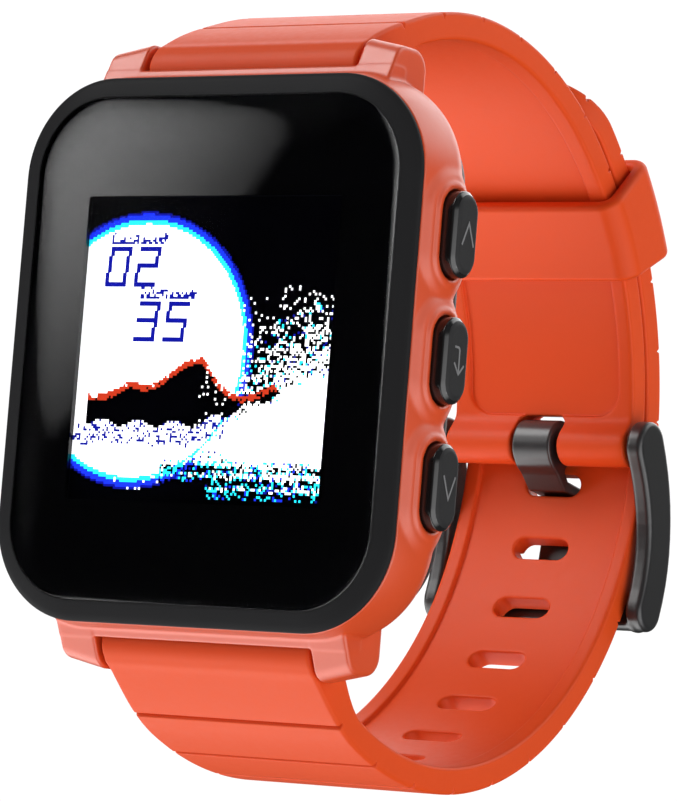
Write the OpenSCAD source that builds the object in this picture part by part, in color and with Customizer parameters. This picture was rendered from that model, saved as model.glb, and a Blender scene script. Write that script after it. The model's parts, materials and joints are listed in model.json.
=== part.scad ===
// Sports watch: a squarish plastic case on a two-piece silicone strap, buckled as when worn.
// Model frame: +X is the 3 o'clock side, +Z is 12 o'clock, -Y is out of the screen.
// The origin is the centre of the case back, where it rests on the wrist.
// Case parts are drawn lying on their back, so their third axis is the height above the case back.

/* [Case] */
// Width of the case at the seam under the bezel ring
case_w = 36.9; // [36.5:0.1:37.5]
// Length of the case at the seam, from 12 to 6 o'clock
case_l = 42.4; // [42:0.1:43]
// Corner radius of the case at the seam
case_r = 7.8; // [7.2:0.1:8.2]
// How far the sides bulge past the seam
case_bulge = 0.4; // [0.3:0.1:0.6]
// Thickness of the whole case, from the back to the top of the lens
case_h = 10.5; // [10.5:0.1:10.8]
// Height of the seam between the case and the bezel ring
seam_h = 9.1; // [9.1:0.1:9.3]
// Height of the back edge of the case body
back_h = 2.0; // [1.9:0.1:2.1]

/* [Lugs and spring bars] */
// Gap between the lugs
lug_gap = 20.2; // [20.1:0.1:20.4]
// Width of one lug
lug_w = 3.4; // [3:0.1:3.8]
// Distance of each spring bar from the middle of the case
bar_z = 22.4; // [22.3:0.1:22.6]
// Height of the spring bars above the case back
bar_h = 4.6; // [4.5:0.1:4.8]

/* [Buttons] */
// Height of the button centres above the case back
button_h = 5.6; // [5.4:0.1:5.8]
// Distance between the three buttons on the right
button_pitch = 9.5; // [9.2:0.1:9.6]
// Length of a button cap
button_l = 6.6; // [6.2:0.1:6.8]
// Width of a button cap
button_w = 3.3; // [3.1:0.1:3.4]
// How far a button travels when pressed
button_travel = 0.45; // [0.3:0.05:0.45]

/* [Strap] */
// Width of the strap where it meets the case
strap_w = 19.5; // [19:0.1:19.6]
// Thickness of the strap
strap_t = 2.2; // [2:0.05:2.25]
// Outer radius of the upper strap half as worn
strap_r = 30.3; // [30.2:0.1:30.4]
// Gap between the two layers where the strap overlaps itself
layer_gap = 0.3; // [0.3:0.05:0.4]
// Distance between the adjustment holes, and between the grooves
hole_pitch = 5.87; // [5.8:0.01:5.9]
// Number of adjustment holes
hole_count = 9; // [7:1:9]
// Width of an adjustment hole across the strap
hole_w = 5.9; // [5.7:0.1:6.1]
// Length of an adjustment hole along the strap
hole_l = 2.3; // [2.3:0.05:2.4]
// Angle round the strap's centre at which the tail ends
tail_angle = 61; // [58:1:62]

/* [Keeper and buckle] */
// Width of the keeper along the strap
keeper_w = 8; // [7:0.1:8.2]
// Angle of the keeper round the strap's centre
keeper_angle = 35; // [33:0.5:36]
// Thickness of a buckle arm
buckle_t = 1.55; // [1.4:0.05:1.6]
// Width of the tongue
tongue_w = 3.7; // [3.5:0.1:4]
// Thickness of the tongue
tongue_t = 0.9; // [0.8:0.05:0.9]

/* [Display] */
// Side of the square display's active area
display_side = 23.6; // [23:0.1:24]

/* [Hidden] */
$fn = 64;
eps = 0.01;

// Case outline at the seam
seam_hw = case_w / 2;
seam_hl = case_l / 2;
// Side profile of the case: a wide arc for the bulge, then a small arc down to the back
bulge_dh = seam_h - button_h;
bulge_r = (bulge_dh * bulge_dh + case_bulge * case_bulge) / (2 * case_bulge);
bulge_top_a = asin(bulge_dh / bulge_r);
edge_r = 3.4;
edge_a = -asin((button_h - edge_r - back_h) / (bulge_r - edge_r));
edge_off = case_bulge - bulge_r + (bulge_r - edge_r) * cos(edge_a);
edge_h = back_h + edge_r;
side_profile = concat(
    [for (i = [0 : 4]) let (a = -90 + i * (edge_a + 90) / 5)
        [edge_off + edge_r * cos(a), edge_h + edge_r * sin(a)]],
    [for (i = [0 : 6]) let (a = edge_a + i * (bulge_top_a - edge_a) / 6)
        [case_bulge - bulge_r + bulge_r * cos(a), button_h + bulge_r * sin(a)]]
);

// Cavity of the case, open at the front and the back
cavity_hw = 16.2;
cavity_hl = 18.5;
cavity_r = 5.5;
ring_lip_h = 7.9;
ring_lip_hw = 17.15;
ring_lip_hl = 19.85;
ring_lip_r = 6.5;
// Lens pocket and the window under it
lens_hw = 16.95;
lens_hl = 19.7;
lens_r = 6.3;
lens_seat_h = 9.4;
lens_h = 9.62;
window_hw = 15.6;
window_hl = 18.35;
window_r = 5;
// Screws in the corners of the case back
screw_x = 14.3;
screw_z = 15.2;
post_r = 1.9;
screw_r = 0.6;

// Lugs
lug_tip_r = 2.2;
lug_in = lug_gap / 2;
lug_out = lug_in + lug_w;
tube_r = 2.0;
tube_room = tube_r + 0.35;
bar_r = 0.75;
bar_half = 9.9;
tip_r = 0.4;
tip_end = 10.95;

// Buttons
button_zs = [button_pitch - 0.1, -0.1, -button_pitch - 0.1];
cap_face = 20.45;
cap_back = 18.75;
cap_gap = 0.12;
boss_face = 19.4;
boss_grow = 0.95;
pocket_floor = cap_back - button_travel - 0.1;
stem_r = 0.72;
stem_bore_r = 0.8;
stem_end = 15.8;
clip_x = 15.9;
clip_t = 0.25;

// Strap: two centres of curvature in the side view, [y, z]
centre_a = [12.3, -0.9];
join_a = -10.5;
centre_shift = 1.8;
centre_b = centre_a + centre_shift * [cos(join_a), sin(join_a)];
tail_r = strap_r + layer_gap + strap_t;
lower_r = tail_r - centre_shift;
upper_mid = strap_r - strap_t / 2;
tail_mid = tail_r - strap_t / 2;
lower_mid = lower_r - strap_t / 2;
// The lower half's angle round its own centre at a distance s along it from the join
function low_angle(s) = join_a + s / (s > 0 ? tail_mid : lower_mid) * 180 / PI;
first_hole_s = 1.5;
tail_holes = 2;
// Strap split lines, which stand for the rubber's bend
upper_split = 80;
lower_split = low_angle(first_hole_s - 7 * hole_pitch);
split_gap = 0.24;
upper_root_end = 124;
lower_root_end = -123;
upper_bar = [-bar_h, bar_z];
lower_bar = [-bar_h, -bar_z];
// Shallow panel sunk in the strap's inner face
panel_depth = 0.35;
panel_hw = 7.3;
groove_w = 0.45;
groove_d = 0.3;

// Buckle
buckle_pin = centre_a + 28.5 * [cos(-2), sin(-2)];
roll_r = 1.75;
eye_r = 2.15;
strap_end_hw = 8.8;
arm_in = 9.25;
arm_out = arm_in + buckle_t;
crossbar_c = [42.4, -15.4];
crossbar_r = 1.9;
pin_r = 0.75;
pin_bore_r = 0.82;
tongue_end = [43.0, -16.9];
notch_hw = 2.3;

// ---- shared shapes ----

// Stands a case part up: height above the back becomes -Y, length becomes +Z
module front() rotate([90, 0, 0]) children();
// Turns a side-view outline [y, z] into a slab across the strap between two x values
module across(x0, x1) translate([x0, 0, 0]) rotate([90, 0, 90]) linear_extrude(x1 - x0) children();

module rounded(hw, hl, r) {
    square([2 * hw, 2 * (hl - r)], center = true);
    square([2 * (hw - r), 2 * hl], center = true);
    for (sx = [-1, 1], sy = [-1, 1]) translate([sx * (hw - r), sy * (hl - r)]) circle(r);
}
module plate(hw, hl, r, h0, h1) translate([0, 0, h0]) linear_extrude(h1 - h0) rounded(hw, hl, r);
module block(x0, x1, y0, y1, h0, h1) translate([x0, y0, h0]) cube([x1 - x0, y1 - y0, h1 - h0]);

// A solid whose plan is a rounded rectangle and whose edge follows a profile of [offset, height]
module swept(hw, hl, r, profile) {
    low = profile[0][1];
    high = profile[len(profile) - 1][1];
    for (sx = [-1, 1], sy = [-1, 1]) translate([sx * (hw - r), sy * (hl - r), 0]) rotate_extrude()
        polygon(concat([[0, low]], [for (p = profile) [r + p[0], p[1]]], [[0, high]]));
    translate([0, hl - r, 0]) rotate([90, 0, 0]) linear_extrude(2 * (hl - r)) both_sides(hw, profile);
    translate([-(hw - r), 0, 0]) rotate([90, 0, 90]) linear_extrude(2 * (hw - r)) both_sides(hl, profile);
}
module both_sides(half, profile) {
    last = len(profile) - 1;
    polygon(concat([for (p = profile) [half + p[0], p[1]]],
        [for (i = [last : -1 : 0]) [-half - profile[i][0], profile[i][1]]]));
}

// A pill standing on the right side of the case, from x0 to x1, with a bevel at its outer edge
module pill(r, length, x0, x1, bevel) {
    straight = length / 2 - r;
    x2 = x1 - bevel;
    for (s = [-1, 1]) translate([0, s * straight, 0]) rotate([0, 90, 0]) {
        translate([0, 0, x0]) cylinder(r = r, h = x2 - x0);
        if (bevel > 0) translate([0, 0, x2]) cylinder(r1 = r, r2 = r - bevel, h = bevel);
    }
    translate([0, straight, 0]) rotate([90, 0, 0]) linear_extrude(2 * straight)
        polygon([[x0, -r], [x2, -r], [x1, bevel - r], [x1, r - bevel], [x2, r], [x0, r]]);
}
module at_button(z, side) translate([0, z, button_h]) mirror([side < 0 ? 1 : 0, 0, 0]) children();
module rod(r, x0, x1) translate([x0, 0, 0]) rotate([0, 90, 0]) cylinder(r = r, h = x1 - x0);
module along_bar(bar) translate([0, bar[0], bar[1]]) children();

// A piece of ring in the side view
module arc_band(c, r_in, r_out, a0, a1) {
    steps = 6;
    reach = r_out * 1.3;
    translate(c) intersection() {
        difference() {
            circle(r_out, $fn = 128);
            circle(r_in, $fn = 128);
        }
        polygon(concat([[0, 0]], [for (i = [0 : steps]) let (a = a0 + i * (a1 - a0) / steps)
            reach * [cos(a), sin(a)]]));
    }
}
// The strap narrows from the case to the buckle
module strap_plan(grow = 0) {
    narrow = strap_end_hw + grow;
    wide = strap_w / 2 + grow;
    translate([0, 0, -50]) linear_extrude(100)
        polygon([[-wide, -8], [wide, -8], [wide, -2], [narrow, 40], [narrow, 50], [-narrow, 50],
            [-narrow, 40], [-wide, -2]]);
}
module radial(c, a, r) translate([0, c[0], c[1]]) rotate([a, 0, 0]) translate([0, r, 0]) children();
module groove(c, a, r) radial(c, a, r) cube([30, 2 * groove_d, groove_w], center = true);
// The split lines' gap as an angle
function gap_angle(r) = split_gap / 2 / r * 180 / PI;

// ---- case ----

module lug_side() {
    translate([bar_z, bar_h]) circle(lug_tip_r);
    polygon([[bar_z, bar_h - lug_tip_r], [bar_z + 0.6, bar_h + lug_tip_r * 0.962], [19.6, 7.9], [17, 7.9],
        [17, bar_h - lug_tip_r]]);
}
module case_body() color([0.88, 0.31, 0.16]) front() {
    difference() {
        union() {
            swept(seam_hw, seam_hl, case_r, side_profile);
            for (sx = [-1, 1], sy = [0, 1]) mirror([0, sy, 0])
                translate([sx > 0 ? lug_in : -lug_out, 0, 0]) rotate([90, 0, 90])
                    linear_extrude(lug_w) lug_side();
            for (z = button_zs) at_button(z, 1)
                pill(button_w / 2 + boss_grow, button_l + 2 * boss_grow, 17, boss_face, 0.3);
            at_button(button_zs[2], -1)
                pill(button_w / 2 + boss_grow, button_l + 2 * boss_grow, 17, boss_face, 0.3);
        }
        difference() {
            plate(cavity_hw, cavity_hl, cavity_r, back_h - 1, case_h);
            for (sx = [-1, 1], sy = [-1, 1]) translate([sx * screw_x, sy * screw_z, back_h])
                cylinder(r = post_r, h = ring_lip_h - 0.4 - back_h);
        }
        plate(ring_lip_hw, ring_lip_hl, ring_lip_r, ring_lip_h, case_h);
        for (sx = [-1, 1], sy = [-1, 1]) translate([sx * screw_x, sy * screw_z, back_h - 1])
            cylinder(r = screw_r + 0.01, h = 5.5);
        for (sy = [-1, 1]) translate([0, sy * bar_z, bar_h]) {
            rod(tube_room, -lug_in, lug_in);
            rod(tip_r + 0.06, -lug_in - 1.1, lug_in + 1.1);
            translate([-lug_in, sy > 0 ? 0 : -5, -5]) cube([2 * lug_in, 5, 5 + tube_room * 0.7]);
        }
        for (z = button_zs) at_button(z, 1) button_room();
        at_button(button_zs[2], -1) button_room();
    }
}
module button_room() {
    pill(button_w / 2 + cap_gap, button_l + 2 * cap_gap, pocket_floor, cap_face + 1, 0);
    rod(stem_bore_r, cavity_hw - 1, pocket_floor + eps);
    rod(1.15, 16.8, 17.5);
}

module bezel_ring() color([0.07, 0.07, 0.075]) front() difference() {
    union() {
        plate(ring_lip_hw - 0.05, ring_lip_hl - 0.05, ring_lip_r - 0.05, ring_lip_h + 0.02, seam_h);
        swept(seam_hw, seam_hl, case_r, concat([[0, seam_h], [0, 9.3]],
            [for (a = [15 : 15 : 60]) [-0.6 + 0.6 * cos(a), 9.3 + 0.6 * sin(a)]],
            [[-1.5, 10.2], [-1.62, 10.2]]));
    }
    plate(lens_hw, lens_hl, lens_r, lens_seat_h, case_h + 1);
    plate(window_hw, window_hl, window_r, ring_lip_h - 1, lens_seat_h + eps);
}
module lens() color([0.02, 0.02, 0.025]) front()
    swept(lens_hw - 0.08, lens_hl - 0.08, lens_r - 0.08,
        [[0, lens_h], [0, 10.02], [-0.2, 10.22], [-0.7, 10.38], [-1.5, 10.46], [-2.6, case_h]]);
module lens_gasket() color([0.15, 0.15, 0.15]) front() difference() {
    plate(lens_hw - 0.12, lens_hl - 0.12, lens_r - 0.12, lens_seat_h, lens_h);
    plate(window_hw + 0.1, window_hl + 0.1, window_r, lens_seat_h - 1, lens_h + 1);
}

// ---- inside the case ----

panel_hw_lcd = display_side / 2 + 1.7;
panel_low = -display_side / 2 - 4.4;
panel_high = display_side / 2 + 1.5;
module lcd_panel() color([0.2, 0.22, 0.3]) front() {
    block(-panel_hw_lcd, panel_hw_lcd, panel_low, panel_high, 8.5, 9);
    block(-panel_hw_lcd, panel_hw_lcd, panel_low + 2, panel_high, 9, 9.5);
    block(-7, 7, panel_low + 0.4, panel_low + 1.4, 9, 9.3);
}
module backlight_unit() color([0.9, 0.9, 0.85]) front()
    block(-panel_hw_lcd + 0.2, panel_hw_lcd - 0.2, panel_low + 2.6, panel_high, 7.9, 8.5);
frame_hw = 13.7;
frame_hl = 17.8;
module post_room(r) for (sx = [-1, 1], sy = [-1, 1]) translate([sx * screw_x, sy * screw_z, 0])
    cylinder(r = r, h = 12);
module inner_frame() color([0.25, 0.26, 0.28]) front() difference() {
    plate(frame_hw, frame_hl, 2, 3.1, 7.9);
    plate(frame_hw - 0.9, frame_hl - 0.9, 1.2, 2, 7.4);
    post_room(post_r + 0.2);
    block(-5, 5, -frame_hl - 1, -frame_hl + 3, 5.5, 9);
    for (sx = [-1, 1]) block(sx * frame_hw - 2, sx * frame_hw + 2, -12.5, 12.8, 3.6, 7.4);
}
board_low = -15.6;
module main_board() color([0.05, 0.3, 0.16]) front() difference() {
    block(-frame_hw + 1, frame_hw - 1, board_low, frame_hl - 1.2, 6.5, 7.3);
    post_room(post_r + 0.4);
}
module rf_shield() color([0.75, 0.75, 0.77]) front() block(-12.3, -5.2, 7.6, 13.2, 5.2, 6.5);
module gps_antenna() color([0.85, 0.8, 0.7]) front() {
    block(-4.5, 4.5, 7.8, 16.6, 4.6, 6.5);
    block(-3.7, 3.7, 8.6, 15.8, 4.52, 4.6);
}
module battery() color([0.7, 0.71, 0.73]) front() {
    plate_y = -4.8;
    translate([0, plate_y, 0]) plate(10.8, 11.4, 1.2, 3.3, 6.1);
    block(-4, 4, plate_y + 11.4, plate_y + 12.3, 4.6, 6.1);
}
module battery_pad() color([0.95, 0.9, 0.7]) front() block(-8, 8, -11, 4, 6.1, 6.5);
module vibration_motor() color([0.8, 0.8, 0.82]) front() translate([8.9, 11.2, 0]) {
    translate([0, 0, 3.8]) cylinder(r = 3.5, h = 2.5);
    translate([0, 0, 6.3]) cylinder(r = 2.8, h = 0.2);
}
module display_flex() color([0.7, 0.4, 0.1]) front() {
    flex_t = 0.15;
    top = 9 + flex_t;
    bottom = 6.5 - flex_t;
    fold_r = (top - bottom) / 2;
    fold = [panel_low - 0.05, bottom + fold_r];
    translate([-4, 0, 0]) rotate([90, 0, 90]) linear_extrude(8) {
        arc_band(fold, fold_r - flex_t, fold_r, 90, 270);
        translate([fold[0] - 0.1, bottom]) square([2.6, flex_t]);
        translate([fold[0] - 0.1, top - flex_t]) square([0.5, flex_t]);
    }
}
switch_x = frame_hw + 0.02;
module at_switches() {
    for (z = button_zs) at_button(z, 1) children();
    at_button(button_zs[2], -1) children();
}
module side_switch_flex() color([0.7, 0.4, 0.1]) front() {
    block(switch_x, switch_x + 0.13, -12, 12, 4.2, 7.0);
    block(-switch_x - 0.13, -switch_x, -12, -7, 4.2, 7.0);
}
module tact_switches() color([0.8, 0.8, 0.8]) front() at_switches() {
    translate([switch_x + 0.13, -1.6, -1.1]) cube([1.1, 3.2, 2.2]);
    rod(0.6, switch_x + 1.2, stem_end - button_travel - 0.05);
}
module button_seals() color([0.1, 0.1, 0.1]) front() at_switches()
    translate([17.15, 0, 0]) rotate([0, 90, 0]) rotate_extrude() translate([0.945, 0]) circle(0.2);
module back_gasket() color([0.1, 0.1, 0.1]) front() difference() {
    plate(cavity_hw - 0.02, cavity_hl - 0.02, cavity_r, back_h + 0.25, back_h + 0.85);
    plate(cavity_hw - 0.7, cavity_hl - 0.7, cavity_r - 0.7, back_h - 1, back_h + 2);
    post_room(post_r + 0.05);
}
module screw_places() for (sx = [-1, 1], sy = [-1, 1]) translate([sx * screw_x, sy * screw_z, 0]) children();
contact_xs = [-4.5, -1.5, 1.5, 4.5];
contact_z = -11;
contact_r = 0.9;
module back_cover() color([0.09, 0.09, 0.1]) front() difference() {
    union() {
        swept(17.1, 19.85, 6.6, [[-2.9, 0], [-2.2, 0.12], [-1.4, 0.5], [-0.85, 1.0], [-0.6, 1.5], [-0.6, back_h]]);
        difference() {
            plate(cavity_hw - 0.75, cavity_hl - 0.75, cavity_r - 0.75, back_h, back_h + 1);
            post_room(post_r + 0.1);
            plate(cavity_hw - 2.2, cavity_hl - 2.2, 3, back_h, back_h + 2);
        }
    }
    screw_places() translate([0, 0, -1]) cylinder(r = screw_r + 0.1, h = 5);
    screw_places() translate([0, 0, -1]) cylinder(r = 1.15, h = 2);
    for (x = contact_xs) translate([x, contact_z, -1]) cylinder(r = contact_r + 0.02, h = 5);
}
module back_screws() color([0.6, 0.6, 0.62]) front() screw_places() difference() {
    union() {
        translate([0, 0, 0.35]) cylinder(r = 1.0, h = 0.65);
        translate([0, 0, 1]) cylinder(r = screw_r, h = 5.2);
    }
    for (a = [0, 60, 120]) translate([0, 0, 0.35]) rotate([0, 0, a]) cube([1.1, 0.32, 0.8], center = true);
}
module charging_contacts() color([0.85, 0.65, 0.25]) front() for (x = contact_xs)
    translate([x, contact_z, 0.1]) cylinder(r = contact_r, h = back_h + 0.7);

// ---- buttons ----

module button(z, side, colour) color(colour) front() at_button(z, side) difference() {
    union() {
        pill(button_w / 2, button_l, cap_back, cap_face, 0.35);
        rod(stem_r, stem_end, cap_back + 0.5);
    }
    difference() {
        rod(stem_r + 1, clip_x - 0.02, clip_x + clip_t + 0.02);
        rod(0.5, 15, 17);
    }
}
button_black = [0.1, 0.1, 0.1];
module button_clip(z, side) color([0.75, 0.75, 0.77]) front() at_button(z, side) difference() {
    rod(1.25, clip_x, clip_x + clip_t);
    rod(0.52, 15, 17);
    translate([15, 0, -0.4]) cube([2, 3, 0.8]);
}
module up_button() button(button_zs[0], 1, button_black);
module enter_button() button(button_zs[1], 1, button_black);
module down_button() button(button_zs[2], 1, button_black);
module light_button() button(button_zs[2], -1, button_black);
module up_button_clip() button_clip(button_zs[0], 1);
module enter_button_clip() button_clip(button_zs[1], 1);
module down_button_clip() button_clip(button_zs[2], 1);
module light_button_clip() button_clip(button_zs[2], -1);

// ---- spring bars ----

steel = [0.72, 0.72, 0.74];
module bar_tube(bar) color(steel) along_bar(bar) difference() {
    rod(bar_r, -bar_half, bar_half);
    rod(0.55, -bar_half + 0.25, bar_half - 0.25);
    rod(0.45, -bar_half - 1, bar_half + 1);
}
module bar_tip(bar, side) color(steel) along_bar(bar) mirror([side < 0 ? 1 : 0, 0, 0]) {
    rod(0.5, 8.1, bar_half - 0.3);
    rod(tip_r, bar_half - 0.3 - eps, tip_end);
}
// Drawn as short as it gets, with both tips pushed in
module bar_spring(bar) color(steel) along_bar(bar) {
    coils = 24;
    pitch = 14 / coils;
    rod(0.2, -7, 7);
    for (i = [0 : coils - 1]) translate([-7 + (i + 0.5) * pitch, 0, 0]) rotate([0, 90, 0])
        rotate_extrude($fn = 24) translate([0.3, 0]) circle(0.17, $fn = 16);
}
module upper_bar_tube() bar_tube(upper_bar);
module upper_bar_spring() bar_spring(upper_bar);
module upper_bar_left_tip() bar_tip(upper_bar, -1);
module upper_bar_right_tip() bar_tip(upper_bar, 1);
module lower_bar_tube() bar_tube(lower_bar);
module lower_bar_spring() bar_spring(lower_bar);
module lower_bar_left_tip() bar_tip(lower_bar, -1);
module lower_bar_right_tip() bar_tip(lower_bar, 1);

// ---- strap ----

orange = [0.87, 0.3, 0.14];
groove_step = hole_pitch / upper_mid * 180 / PI;
module upper_band(a0, a1) {
    difference() {
        across(-strap_w, strap_w) arc_band(centre_a, strap_r - strap_t, strap_r, a0, a1);
        across(-panel_hw, panel_hw)
            arc_band(centre_a, strap_r - strap_t - 1, strap_r - strap_t + panel_depth, 6, 116);
        for (i = [-3 : 3]) groove(centre_a, 80 + i * groove_step, strap_r);
    }
}
module strap_upper_root() color(orange) difference() {
    intersection() {
        strap_plan();
        union() {
            upper_band(upper_split + gap_angle(upper_mid), upper_root_end);
            along_bar(upper_bar) rod(tube_r, -strap_w, strap_w);
        }
    }
    along_bar(upper_bar) rod(bar_r + 0.09, -strap_w, strap_w);
}
module strap_upper() color(orange) difference() {
    union() {
        intersection() {
            strap_plan();
            upper_band(-2, upper_split - gap_angle(upper_mid));
        }
        along_bar(buckle_pin) rod(roll_r, -strap_end_hw, strap_end_hw);
    }
    along_bar(buckle_pin) rod(pin_r + 0.01, -strap_w, strap_w);
    across(-notch_hw, notch_hw) arc_band(centre_a, 24, 32, -8, 4.2);
}
module tail_tip() {
    tip_r = 6;
    radial(centre_a, tail_angle, tail_mid) difference() {
        translate([-20, -5, -tip_r]) cube([40, 10, 20]);
        translate([0, 0, -tip_r]) for (s = [-1, 1]) translate([s * (strap_end_hw - tip_r), 0, 0])
            rotate([90, 0, 0]) translate([0, 0, -6]) cylinder(r = tip_r, h = 12);
        translate([-strap_end_hw + tip_r, -6, -2 * tip_r]) cube([2 * (strap_end_hw - tip_r), 12, 2 * tip_r]);
    }
}
module slot() {
    half = hole_w / 2 - hole_l / 2;
    translate([-half, -4, -hole_l / 2]) cube([2 * half, 8, hole_l]);
    for (s = [-1, 1]) translate([s * half, 4, 0]) rotate([90, 0, 0]) cylinder(r = hole_l / 2, h = 8);
}
module at_low(s) radial(s > 0 ? centre_a : centre_b, low_angle(s), s > 0 ? tail_mid : lower_mid) children();
module lower_band(a0) {
    difference() {
        union() {
            across(-strap_w, strap_w) arc_band(centre_b, lower_r - strap_t, lower_r, a0, join_a);
            if (a0 > -100) across(-strap_w, strap_w)
                arc_band(centre_a, tail_r - strap_t, tail_r, join_a - 0.02, tail_angle);
        }
        across(-panel_hw, panel_hw)
            arc_band(centre_b, lower_r - strap_t - 1, lower_r - strap_t + panel_depth, -112, join_a);
        across(-panel_hw, panel_hw)
            arc_band(centre_a, tail_r - strap_t - 1, tail_r - strap_t + panel_depth, join_a - 0.02, 40);
        for (i = [-5 : 10]) at_low(first_hole_s - i * hole_pitch) translate([0, strap_t / 2, 0])
            cube([30, 2 * groove_d, groove_w], center = true);
    }
}
module strap_lower() color(orange) difference() {
    intersection() {
        strap_plan();
        lower_band(lower_split + gap_angle(lower_mid));
    }
    tail_tip();
    for (i = [0 : hole_count - 1]) at_low(first_hole_s + (tail_holes - i) * hole_pitch) slot();
}
module strap_lower_root() color(orange) difference() {
    intersection() {
        strap_plan();
        union() {
            difference() {
                lower_band(lower_root_end);
                across(-strap_w, strap_w)
                    arc_band(centre_b, 20, 40, lower_split - gap_angle(lower_mid), 20);
            }
            along_bar(lower_bar) rod(tube_r, -strap_w, strap_w);
            across(-strap_w, strap_w) polygon([
                centre_b + lower_r * [cos(lower_root_end), sin(lower_root_end)],
                centre_b + (lower_r - strap_t) * [cos(lower_root_end), sin(lower_root_end)],
                lower_bar + 0.9 * [0.7, 0.7], lower_bar,
                lower_bar + tube_r * [cos(222), sin(222)]]);
        }
    }
    // A loose bore, because the strap's bends let this end shift a little on its bar
    along_bar(lower_bar) rod(bar_r + 0.15, -strap_w, strap_w);
}
keeper_half = keeper_w / 2 / (strap_r + 1) * 180 / PI;
module strap_keeper() color(orange) {
    wall = 1.35;
    in_hw = 9.15;
    r_in = strap_r - strap_t - 0.15;
    r_out = tail_r + 0.15;
    a0 = keeper_angle - keeper_half;
    a1 = keeper_angle + keeper_half;
    difference() {
        across(-in_hw - wall, in_hw + wall) arc_band(centre_a, r_in - wall, r_out + wall, a0, a1);
        across(-in_hw, in_hw) arc_band(centre_a, r_in, r_out, a0 - 2, a1 + 2);
        // Rounded corners along the keeper
        for (s = [-1, 1]) {
            corner_cut(s, in_hw + wall, r_in - wall, 1);
            corner_cut(s, in_hw + wall, r_out + wall, -1);
        }
    }
}
module corner_cut(s, hw, r, inward) {
    cut = 0.9;
    translate([0, centre_a[0], centre_a[1]]) rotate([0, 90, 0]) rotate_extrude($fn = 96)
        polygon([[r + inward * cut, s * (hw + 0.1)], [r - inward * 0.1, s * (hw + 0.1)],
            [r - inward * 0.1, s * (hw - cut)]]);
}

// ---- buckle ----

function bezier(t, a, b, c) = (1 - t) * (1 - t) * a + 2 * t * (1 - t) * b + t * t * c;
module arm_side() {
    translate(buckle_pin) circle(eye_r);
    translate(crossbar_c) circle(crossbar_r);
    polygon(concat(
        [for (t = [0 : 0.1 : 1]) bezier(t, [42.3, -0.4], [46.6, -8.8], [44.25, -15.0])],
        [for (t = [1 : -0.1 : 0]) bezier(t, [38.67, -2.3], [42.6, -9.6], [40.55, -15.8])]));
}
module buckle_frame() color([0.12, 0.12, 0.12]) difference() {
    union() {
        for (s = [-1, 1]) across(s > 0 ? arm_in : -arm_out, s > 0 ? arm_out : -arm_in) arm_side();
        across(-arm_in - eps, arm_in + eps) difference() {
            translate(crossbar_c) circle(crossbar_r);
            translate(centre_b) circle(lower_r + 0.3, $fn = 128);
        }
    }
    along_bar(buckle_pin) rod(pin_bore_r, -arm_out - 1, arm_out + 1);
    translate([-2.6, 42.95, -18]) cube([5.2, 4, 6]);
}
module buckle_bar() color(steel) along_bar(buckle_pin) rod(pin_r, -arm_out + 0.2, arm_out - 0.2);
module buckle_tongue() color([0.1, 0.1, 0.1]) difference() {
    half_w = tongue_w / 2;
    union() {
        along_bar(buckle_pin) rod(eye_r, -half_w, half_w);
        across(-half_w, half_w) polygon(concat(
            [buckle_pin + [-0.8, -1.2], [42.1, -4.75], [45.0, -5.2]],
            [for (t = [0 : 0.125 : 1]) bezier(t, [45.6, -6.0], [45.9, -10.8], tongue_end + [tongue_t, 0])],
            [for (t = [1 : -0.125 : 0])
                bezier(t, [45.6 - tongue_t, -6.5], [45.9 - tongue_t, -10.8], tongue_end)],
            [[44.3, -6.0], [42.2, -5.6], buckle_pin + [-1.0, -2.0]]));
    }
    along_bar(buckle_pin) rod(pin_bore_r, -5, 5);
}

case_body();
bezel_ring();
lens();
lens_gasket();
lcd_panel();
backlight_unit();
inner_frame();
main_board();
rf_shield();
gps_antenna();
battery();
battery_pad();
vibration_motor();
display_flex();
side_switch_flex();
tact_switches();
button_seals();
back_gasket();
back_cover();
back_screws();
charging_contacts();
up_button();
enter_button();
down_button();
light_button();
up_button_clip();
enter_button_clip();
down_button_clip();
light_button_clip();
upper_bar_tube();
upper_bar_spring();
upper_bar_left_tip();
upper_bar_right_tip();
lower_bar_tube();
lower_bar_spring();
lower_bar_left_tip();
lower_bar_right_tip();
strap_upper_root();
strap_upper();
strap_lower_root();
strap_lower();
strap_keeper();
buckle_bar();
buckle_frame();
buckle_tongue();
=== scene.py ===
"""A sports watch on its buckled silicone strap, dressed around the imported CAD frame.

Shapes are worked out in millimetres and turned into metres when their mesh is made. Case parts use
(x, z, h): across, towards 12 o'clock, and height above the case back. Strap parts are shaped flat, as
(s, x, n): along the strap, across it, and out of its middle surface, and are then laid on its arcs.
"""

import math

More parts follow.
